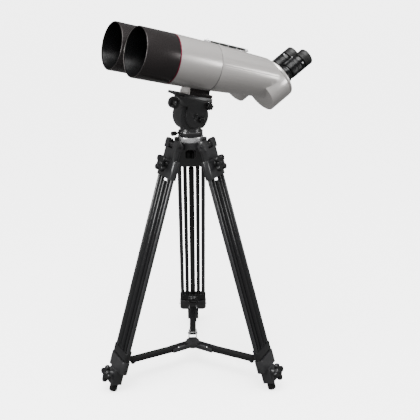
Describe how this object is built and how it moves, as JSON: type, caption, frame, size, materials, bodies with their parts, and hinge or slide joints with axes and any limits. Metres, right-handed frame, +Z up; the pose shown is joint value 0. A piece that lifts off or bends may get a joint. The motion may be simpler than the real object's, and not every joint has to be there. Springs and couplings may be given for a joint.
{
  "type": "astronomy binoculars on tripod",
  "caption": "Giant twin-tube telescope with angled eyepieces and top handle, on a pan-and-tilt head over a folding, extending tripod with levelling bowl and spreader.",
  "frame": {"origin": "on the floor under the middle of the box; the tripod axis stands at y = -0.0448 m", "axes": "+Z up, the object glasses look along -Y, over leg 1; the two tubes lie side by side along X"},
  "size_m": [0.5936, 0.7572, 1.1556],
  "materials": {
    "silver_paint": "satin grey paint",
    "bronze_paint": "satin dark bronze-grey",
    "red_ring": "anodised maroon",
    "black_metal": "satin black",
    "lens_glass": "coated",
    "prism_glass": "polished",
    "handle_metal": "satin anodised",
    "rubber": "moulded",
    "bowl_metal": "polished",
    "dark_casting": "satin powder coat",
    "leg_tube": "black anodised",
    "knob_plastic": "moulded"
  },
  "bodies": {
    "tripod_top": {"spider": "dark_casting", "bowl": "bowl_metal"},
    "levelling_ball": {"pan_base": "dark_casting"},
    "pan_lock": {"pan_knob": "knob_plastic"},
    "tie_down": {"tie_down_knob": "knob_plastic"},
    "head": {"head_body": "dark_casting"},
    "tilt_platform": {"platform": "dark_casting"},
    "plate_lock": {"plate_knob": "knob_plastic"},
    "tilt_lock": {"tilt_knob": "knob_plastic"},
    "telescope": {"slide_plate": "dark_casting", "saddle": "silver_paint", "left_dew_shield": "bronze_paint", "right_dew_shield": "bronze_paint", "accent_rings": "red_ring", "objective_cells": "black_metal", "objective_lenses": "lens_glass", "left_tube": "silver_paint", "right_tube": "silver_paint", "left_rear_body": "silver_paint", "right_rear_body": "silver_paint", "prisms": "prism_glass", "end_plate": "silver_paint", "handle": "handle_metal", "handle_inserts": "rubber"},
    "left_turret_body": {"left_turret": "black_metal"},
    "left_focus": {"left_focus_ring": "black_metal"},
    "left_ocular": {"left_eyepiece": "black_metal"},
    "left_cup": {"left_eyecup": "rubber"},
    "right_turret_body": {"right_turret": "black_metal"},
    "right_focus": {"right_focus_ring": "black_metal"},
    "right_ocular": {"right_eyepiece": "black_metal"},
    "right_cup": {"right_eyecup": "rubber"},
    "leg_1_stage_1": {"leg_1_bracket": "dark_casting", "leg_1_upper_tubes": "leg_tube"},
    "leg_1_stage_2": {"leg_1_clamp": "dark_casting", "leg_1_outer_tubes": "leg_tube"},
    "leg_1_stage_3": {"leg_1_centre_tube": "leg_tube", "leg_1_foot": "rubber"},
    "leg_1_top_lock": {"leg_1_upper_knob": "knob_plastic"},
    "leg_1_low_lock": {"leg_1_lower_knob": "knob_plastic"},
    "arm_1": {"spreader_arm_1": "leg_tube"},
    "leg_2_stage_1": {"leg_2_bracket": "dark_casting", "leg_2_upper_tubes": "leg_tube"},
    "leg_2_stage_2": {"leg_2_clamp": "dark_casting", "leg_2_outer_tubes": "leg_tube"},
    "leg_2_stage_3": {"leg_2_centre_tube": "leg_tube", "leg_2_foot": "rubber"},
    "leg_2_top_lock": {"leg_2_upper_knob": "knob_plastic"},
    "leg_2_low_lock": {"leg_2_lower_knob": "knob_plastic"},
    "arm_2": {"spreader_arm_2": "leg_tube"},
    "leg_3_stage_1": {"leg_3_bracket": "dark_casting", "leg_3_upper_tubes": "leg_tube"},
    "leg_3_stage_2": {"leg_3_clamp": "dark_casting", "leg_3_outer_tubes": "leg_tube"},
    "leg_3_stage_3": {"leg_3_centre_tube": "leg_tube", "leg_3_foot": "rubber"},
    "leg_3_top_lock": {"leg_3_upper_knob": "knob_plastic"},
    "leg_3_low_lock": {"leg_3_lower_knob": "knob_plastic"},
    "arm_3": {"spreader_arm_3": "leg_tube"},
    "hub": {"spreader_hub": "leg_tube"}
  },
  "joints": [
    {"name": "level", "type": "hinge", "parent": "tripod_top", "child": "levelling_ball", "pos_m": [0, -0.04476, 0.813], "axis": [1, 0, 0], "range_deg": [-4, 4]},
    {"name": "tie_down_turn", "type": "hinge", "parent": "levelling_ball", "child": "tie_down", "pos_m": [0, -0.04476, 0.754], "axis": [0, 0, 1], "range_deg": [-180, 180]},
    {"name": "pan_lock_turn", "type": "hinge", "parent": "levelling_ball", "child": "pan_lock", "pos_m": [0, -0.09476, 0.8265], "axis": [0, -1, 0], "range_deg": [-90, 180]},
    {"name": "pan", "type": "hinge", "parent": "levelling_ball", "child": "head", "pos_m": [0, -0.04476, 0.877], "axis": [0, 0, 1], "continuous": true},
    {"name": "tilt", "type": "hinge", "parent": "head", "child": "tilt_platform", "pos_m": [0, -0.04476, 0.877], "axis": [1, 0, 0], "range_deg": [-46, 44]},
    {"name": "plate_lock_turn", "type": "hinge", "parent": "tilt_platform", "child": "plate_lock", "pos_m": [0.05, -0.00355, 0.90589], "axis": [1, 0, 0], "range_deg": [-90, 180]},
    {"name": "tilt_lock_turn", "type": "hinge", "parent": "tilt_platform", "child": "tilt_lock", "pos_m": [0.045, -0.02778, 0.86658], "axis": [1, 0, 0], "range_deg": [-90, 180]},
    {"name": "plate_slide", "type": "slide", "parent": "tilt_platform", "child": "telescope", "axis": [0, 0.9703, -0.2419], "range_m": [-0.01, 0.04]},
    {"name": "left_pupil_turn", "type": "hinge", "parent": "telescope", "child": "left_turret_body", "pos_m": [-0.079, 0.21862, 0.97981], "axis": [0, 0.8572, 0.515], "range_deg": [-8, 10]},
    {"name": "left_focus_turn", "type": "hinge", "parent": "left_turret_body", "child": "left_focus", "pos_m": [-0.033, 0.27042, 0.97127], "axis": [0, 0.8572, 0.515], "range_deg": [-180, 180]},
    {"name": "left_focus_travel", "type": "slide", "parent": "left_turret_body", "child": "left_ocular", "axis": [0, 0.8572, 0.515], "range_m": [-0.004, 0.004]},
    {"name": "left_eyecup_lift", "type": "slide", "parent": "left_ocular", "child": "left_cup", "axis": [0, 0.8572, 0.515], "range_m": [0, 0.008]},
    {"name": "right_pupil_turn", "type": "hinge", "parent": "telescope", "child": "right_turret_body", "pos_m": [0.079, 0.21862, 0.97981], "axis": [0, 0.8572, 0.515], "range_deg": [-10, 8]},
    {"name": "right_focus_turn", "type": "hinge", "parent": "right_turret_body", "child": "right_focus", "pos_m": [0.033, 0.27042, 0.97127], "axis": [0, 0.8572, 0.515], "range_deg": [-180, 180]},
    {"name": "right_focus_travel", "type": "slide", "parent": "right_turret_body", "child": "right_ocular", "axis": [0, 0.8572, 0.515], "range_m": [-0.004, 0.004]},
    {"name": "right_eyecup_lift", "type": "slide", "parent": "right_ocular", "child": "right_cup", "axis": [0, 0.8572, 0.515], "range_m": [0, 0.008]},
    {"name": "leg_1_fold", "type": "hinge", "parent": "tripod_top", "child": "leg_1_stage_1", "pos_m": [0, -0.10276, 0.79], "axis": [1, 0, 0], "range_deg": [0, 11.88]},
    {"name": "leg_1_extend", "type": "slide", "parent": "leg_1_stage_1", "child": "leg_1_stage_2", "axis": [0, -0.294, -0.9558], "range_m": [0, 0.48]},
    {"name": "leg_1_centre_extend", "type": "slide", "parent": "leg_1_stage_2", "child": "leg_1_stage_3", "axis": [0, -0.294, -0.9558], "range_m": [0, 0.45]},
    {"name": "leg_1_top_lock_turn", "type": "hinge", "parent": "leg_1_stage_2", "child": "leg_1_top_lock", "pos_m": [0, -0.15099, 0.74206], "axis": [0, -0.9558, 0.294], "range_deg": [-90, 180]},
    {"name": "leg_1_low_lock_turn", "type": "hinge", "parent": "leg_1_stage_2", "child": "leg_1_low_lock", "pos_m": [0, -0.36502, 0.07344], "axis": [0, -0.9558, 0.294], "range_deg": [-90, 180]},
    {"name": "arm_1_fold", "type": "hinge", "parent": "leg_1_stage_1", "child": "arm_1", "pos_m": [0, -0.27474, 0.09484], "axis": [1, 0, 0], "range_deg": [0, 74.86]},
    {"name": "leg_2_fold", "type": "hinge", "parent": "tripod_top", "child": "leg_2_stage_1", "pos_m": [0.05023, -0.01576, 0.79], "axis": [-0.5, 0.866, 0], "range_deg": [0, 11.88]},
    {"name": "leg_2_extend", "type": "slide", "parent": "leg_2_stage_1", "child": "leg_2_stage_2", "axis": [0.2546, 0.147, -0.9558], "range_m": [0, 0.48]},
    {"name": "leg_2_centre_extend", "type": "slide", "parent": "leg_2_stage_2", "child": "leg_2_stage_3", "axis": [0.2546, 0.147, -0.9558], "range_m": [0, 0.45]},
    {"name": "leg_2_top_lock_turn", "type": "hinge", "parent": "leg_2_stage_2", "child": "leg_2_top_lock", "pos_m": [0.09199, 0.00835, 0.74206], "axis": [0.8278, 0.4779, 0.294], "range_deg": [-90, 180]},
    {"name": "leg_2_low_lock_turn", "type": "hinge", "parent": "leg_2_stage_2", "child": "leg_2_low_lock", "pos_m": [0.27735, 0.11537, 0.07344], "axis": [0.8278, 0.4779, 0.294], "range_deg": [-90, 180]},
    {"name": "arm_2_fold", "type": "hinge", "parent": "leg_2_stage_1", "child": "arm_2", "pos_m": [0.19917, 0.07023, 0.09484], "axis": [-0.5, 0.866, 0], "range_deg": [0, 74.86]},
    {"name": "leg_3_fold", "type": "hinge", "parent": "tripod_top", "child": "leg_3_stage_1", "pos_m": [-0.05023, -0.01576, 0.79], "axis": [-0.5, -0.866, 0], "range_deg": [0, 11.88]},
    {"name": "leg_3_extend", "type": "slide", "parent": "leg_3_stage_1", "child": "leg_3_stage_2", "axis": [-0.2546, 0.147, -0.9558], "range_m": [0, 0.48]},
    {"name": "leg_3_centre_extend", "type": "slide", "parent": "leg_3_stage_2", "child": "leg_3_stage_3", "axis": [-0.2546, 0.147, -0.9558], "range_m": [0, 0.45]},
    {"name": "leg_3_top_lock_turn", "type": "hinge", "parent": "leg_3_stage_2", "child": "leg_3_top_lock", "pos_m": [-0.09199, 0.00835, 0.74206], "axis": [-0.8278, 0.4779, 0.294], "range_deg": [-90, 180]},
    {"name": "leg_3_low_lock_turn", "type": "hinge", "parent": "leg_3_stage_2", "child": "leg_3_low_lock", "pos_m": [-0.27735, 0.11537, 0.07344], "axis": [-0.8278, 0.4779, 0.294], "range_deg": [-90, 180]},
    {"name": "arm_3_fold", "type": "hinge", "parent": "leg_3_stage_1", "child": "arm_3", "pos_m": [-0.19917, 0.07023, 0.09484], "axis": [-0.5, -0.866, 0], "range_deg": [0, 74.86]},
    {"name": "hub_lift", "type": "slide", "parent": "tripod_top", "child": "hub", "axis": [0, 0, 1], "range_m": [0, 0.1506]}
  ],
  "couplings": [
    {"joint": "leg_2_fold", "follows": "leg_1_fold", "ratio": 1},
    {"joint": "leg_3_fold", "follows": "leg_1_fold", "ratio": 1},
    {"joint": "arm_1_fold", "follows": "leg_1_fold", "ratio": 6.2998},
    {"joint": "arm_2_fold", "follows": "leg_1_fold", "ratio": 6.2998},
    {"joint": "arm_3_fold", "follows": "leg_1_fold", "ratio": 6.2998},
    {"joint": "hub_lift", "follows": "leg_1_fold", "m_per_rad": 0.72615},
    {"joint": "right_pupil_turn", "follows": "left_pupil_turn", "ratio": -1},
    {"joint": "left_focus_travel", "follows": "left_focus_turn", "m_per_rad": 0.0012732},
    {"joint": "right_focus_travel", "follows": "right_focus_turn", "m_per_rad": 0.0012732}
  ]
}
